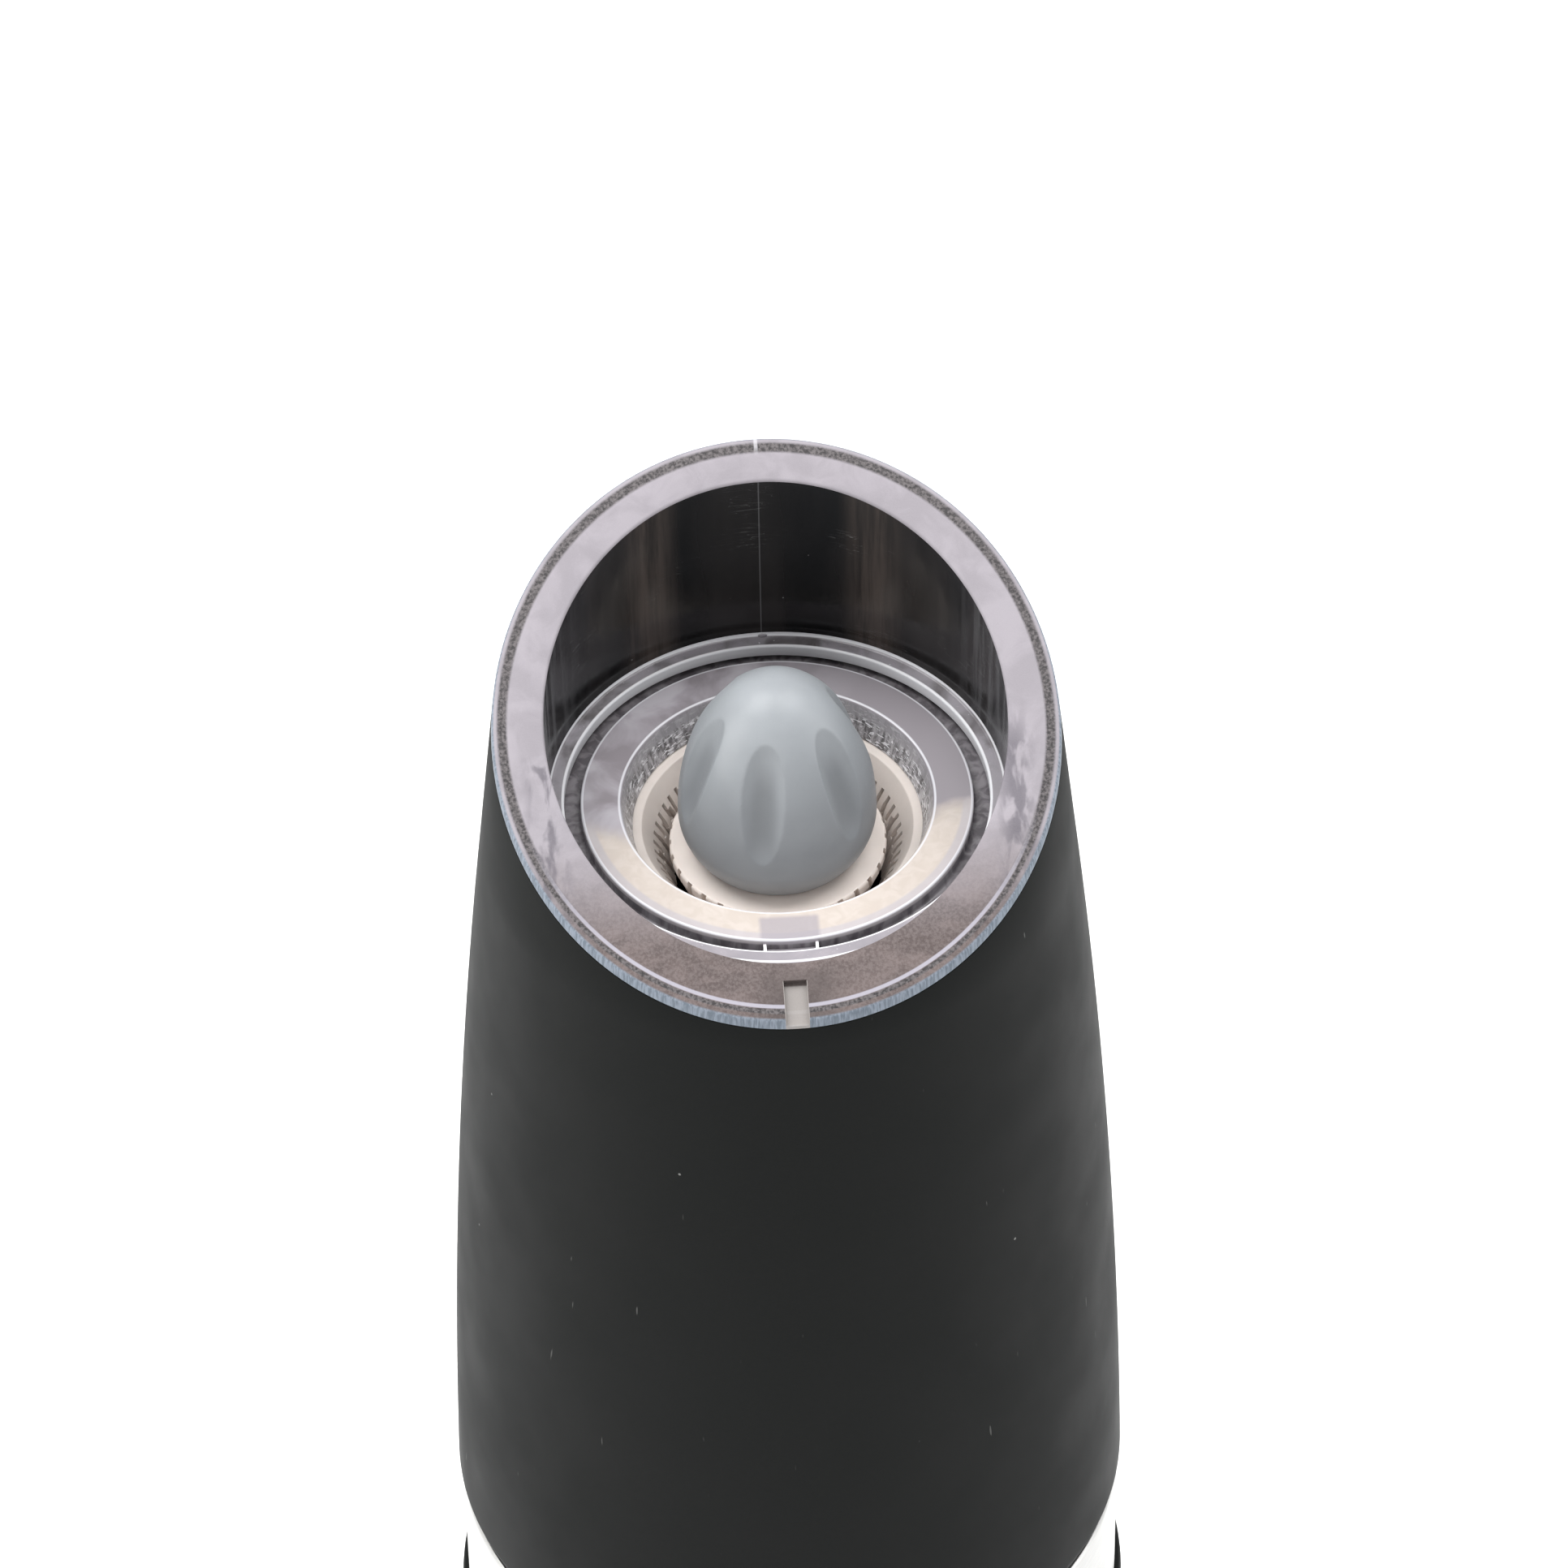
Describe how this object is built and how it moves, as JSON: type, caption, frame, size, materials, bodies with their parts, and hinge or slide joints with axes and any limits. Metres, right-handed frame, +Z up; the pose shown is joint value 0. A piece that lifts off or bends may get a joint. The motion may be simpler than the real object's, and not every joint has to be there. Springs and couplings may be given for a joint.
{
  "type": "pepper mill",
  "caption": "Battery pepper mill with a slanted clear mouth over a ceramic burr, a tapered black body and a steel band; it grinds when tipped over.",
  "frame": {"origin": "centre of the base, on the table the mill stands on", "axes": "+Z up along the mill's axis, -Y towards the low side of the slanted mouth, +X to the right of someone facing the mouth"},
  "size_m": [0.0584, 0.0584, 0.2002],
  "materials": {
    "black_soft_touch": "soft-touch satin",
    "black_rubber": "matte",
    "clear_silicone": "matte",
    "black_nylon": "moulded",
    "brushed_band": "brushed round the axis",
    "zinc_screw": "zinc plated",
    "motor_steel": "nickel plated",
    "brass": "turned",
    "red_wire": "insulation",
    "white_wire": "insulation",
    "gear_blue": "moulded acetal",
    "gear_cream": "moulded acetal",
    "magnet": "sintered ferrite",
    "board_green": "solder mask",
    "board_parts": "moulded",
    "nickel": "bright",
    "cell_sleeve": "printed sleeve, no marks",
    "armature": "lamination and copper",
    "clear_acrylic": "clear, polished",
    "smoked_acrylic": "smoked, polished",
    "white_ceramic": "fired, unglazed",
    "lamp_clear": "clear dome",
    "shaft_steel": "drawn",
    "knob_grey": "fine satin"
  },
  "bodies": {
    "housing": {"lower_shell": "black_soft_touch", "foot_ring": "black_rubber"},
    "motor_unit": {"motor_frame": "black_nylon", "steel_band": "brushed_band", "spigot_lid": "black_nylon", "spigot_seal": "black_rubber", "chamber_seal": "clear_silicone", "lid_screws": "zinc_screw", "contact_pins": "brass", "pin_wires": "red_wire", "gearbox_base": "black_nylon", "gearbox_case": "gear_blue", "gearbox_cover": "black_nylon", "gearbox_screws": "zinc_screw", "output_bush": "brass", "motor_can": "motor_steel", "motor_end_cap": "black_nylon", "motor_magnets": "magnet", "motor_terminals": "brass", "motor_wires": "red_wire", "circuit_board": "board_green", "board_parts": "board_parts", "tilt_switch_can": "nickel", "battery_holder": "black_nylon", "battery_cells": "cell_sleeve", "battery_contacts": "brass", "holder_screws": "zinc_screw"},
    "tilt_ball": {"tilt_ball": "nickel"},
    "rotor": {"motor_shaft": "shaft_steel", "motor_armature": "armature", "motor_pinion": "brass"},
    "first_stage": {"first_carrier": "gear_cream"},
    "first_planet_1": {"first_planet_1": "gear_cream"},
    "first_planet_2": {"first_planet_2": "gear_cream"},
    "first_planet_3": {"first_planet_3": "gear_cream"},
    "output": {"output_carrier": "gear_cream"},
    "second_planet_1": {"second_planet_1": "gear_cream"},
    "second_planet_2": {"second_planet_2": "gear_cream"},
    "second_planet_3": {"second_planet_3": "gear_cream"},
    "head": {"upper_shell": "black_soft_touch", "clear_collar": "clear_acrylic", "burr_holder": "clear_acrylic", "outer_burr": "white_ceramic", "spice_chamber": "smoked_acrylic", "chamber_screws": "zinc_screw", "shaft_bridge": "black_nylon", "lamp": "lamp_clear", "lamp_housing": "clear_acrylic", "lamp_wires": "white_wire", "contact_pads": "brass"},
    "shaft": {"drive_shaft": "shaft_steel", "shaft_clip": "shaft_steel", "burr_spring": "shaft_steel"},
    "burr": {"inner_burr": "white_ceramic", "burr_core": "black_nylon"},
    "knob": {"coarseness_knob": "knob_grey", "knob_nut": "brass"}
  },
  "joints": [
    {"name": "unit_lift", "type": "slide", "parent": "housing", "child": "motor_unit", "axis": [0, 0, 1], "range_m": [0, 0.085]},
    {"name": "head_lift", "type": "slide", "parent": "motor_unit", "child": "head", "axis": [0, 0, 1], "range_m": [0, 0.05]},
    {"name": "tilt_ball_roll", "type": "slide", "parent": "motor_unit", "child": "tilt_ball", "axis": [0, 0, 1], "range_m": [0, 0.0038]},
    {"name": "motor_spin", "type": "hinge", "parent": "motor_unit", "child": "rotor", "pos_m": [0, 0, 0.098], "axis": [0, 0, 1], "continuous": true},
    {"name": "first_stage_spin", "type": "hinge", "parent": "motor_unit", "child": "first_stage", "pos_m": [0, 0, 0.106], "axis": [0, 0, 1], "continuous": true},
    {"name": "output_spin", "type": "hinge", "parent": "motor_unit", "child": "output", "pos_m": [0, 0, 0.116], "axis": [0, 0, 1], "continuous": true},
    {"name": "first_planet_1_spin", "type": "hinge", "parent": "first_stage", "child": "first_planet_1", "pos_m": [0.0072, 0, 0.1023], "axis": [0, 0, 1], "continuous": true},
    {"name": "first_planet_2_spin", "type": "hinge", "parent": "first_stage", "child": "first_planet_2", "pos_m": [-0.0036, 0.00624, 0.1023], "axis": [0, 0, 1], "continuous": true},
    {"name": "first_planet_3_spin", "type": "hinge", "parent": "first_stage", "child": "first_planet_3", "pos_m": [-0.0036, -0.00624, 0.1023], "axis": [0, 0, 1], "continuous": true},
    {"name": "second_planet_1_spin", "type": "hinge", "parent": "output", "child": "second_planet_1", "pos_m": [0.0072, 0, 0.1099], "axis": [0, 0, 1], "continuous": true},
    {"name": "second_planet_2_spin", "type": "hinge", "parent": "output", "child": "second_planet_2", "pos_m": [-0.0036, 0.00624, 0.1099], "axis": [0, 0, 1], "continuous": true},
    {"name": "second_planet_3_spin", "type": "hinge", "parent": "output", "child": "second_planet_3", "pos_m": [-0.0036, -0.00624, 0.1099], "axis": [0, 0, 1], "continuous": true},
    {"name": "shaft_spin", "type": "hinge", "parent": "head", "child": "shaft", "pos_m": [0, 0, 0.161], "axis": [0, 0, 1], "continuous": true},
    {"name": "burr_shift", "type": "slide", "parent": "shaft", "child": "burr", "axis": [0, 0, 1], "range_m": [-0.0006, 0.0006], "deforming": ["burr_spring"]},
    {"name": "knob_turn", "type": "hinge", "parent": "burr", "child": "knob", "pos_m": [0, 0, 0.18], "axis": [0, 0, 1], "range_deg": [-270, 270]}
  ],
  "couplings": [
    {"joint": "first_stage_spin", "follows": "motor_spin", "ratio": 0.16667},
    {"joint": "output_spin", "follows": "motor_spin", "ratio": 0.027778},
    {"joint": "shaft_spin", "follows": "motor_spin", "ratio": 0.027778},
    {"joint": "first_planet_1_spin", "follows": "motor_spin", "ratio": -0.41667},
    {"joint": "first_planet_2_spin", "follows": "motor_spin", "ratio": -0.41667},
    {"joint": "first_planet_3_spin", "follows": "motor_spin", "ratio": -0.41667},
    {"joint": "second_planet_1_spin", "follows": "motor_spin", "ratio": -0.069444},
    {"joint": "second_planet_2_spin", "follows": "motor_spin", "ratio": -0.069444},
    {"joint": "second_planet_3_spin", "follows": "motor_spin", "ratio": -0.069444},
    {"joint": "knob_turn", "follows": "burr_shift", "rad_per_m": 7854}
  ]
}
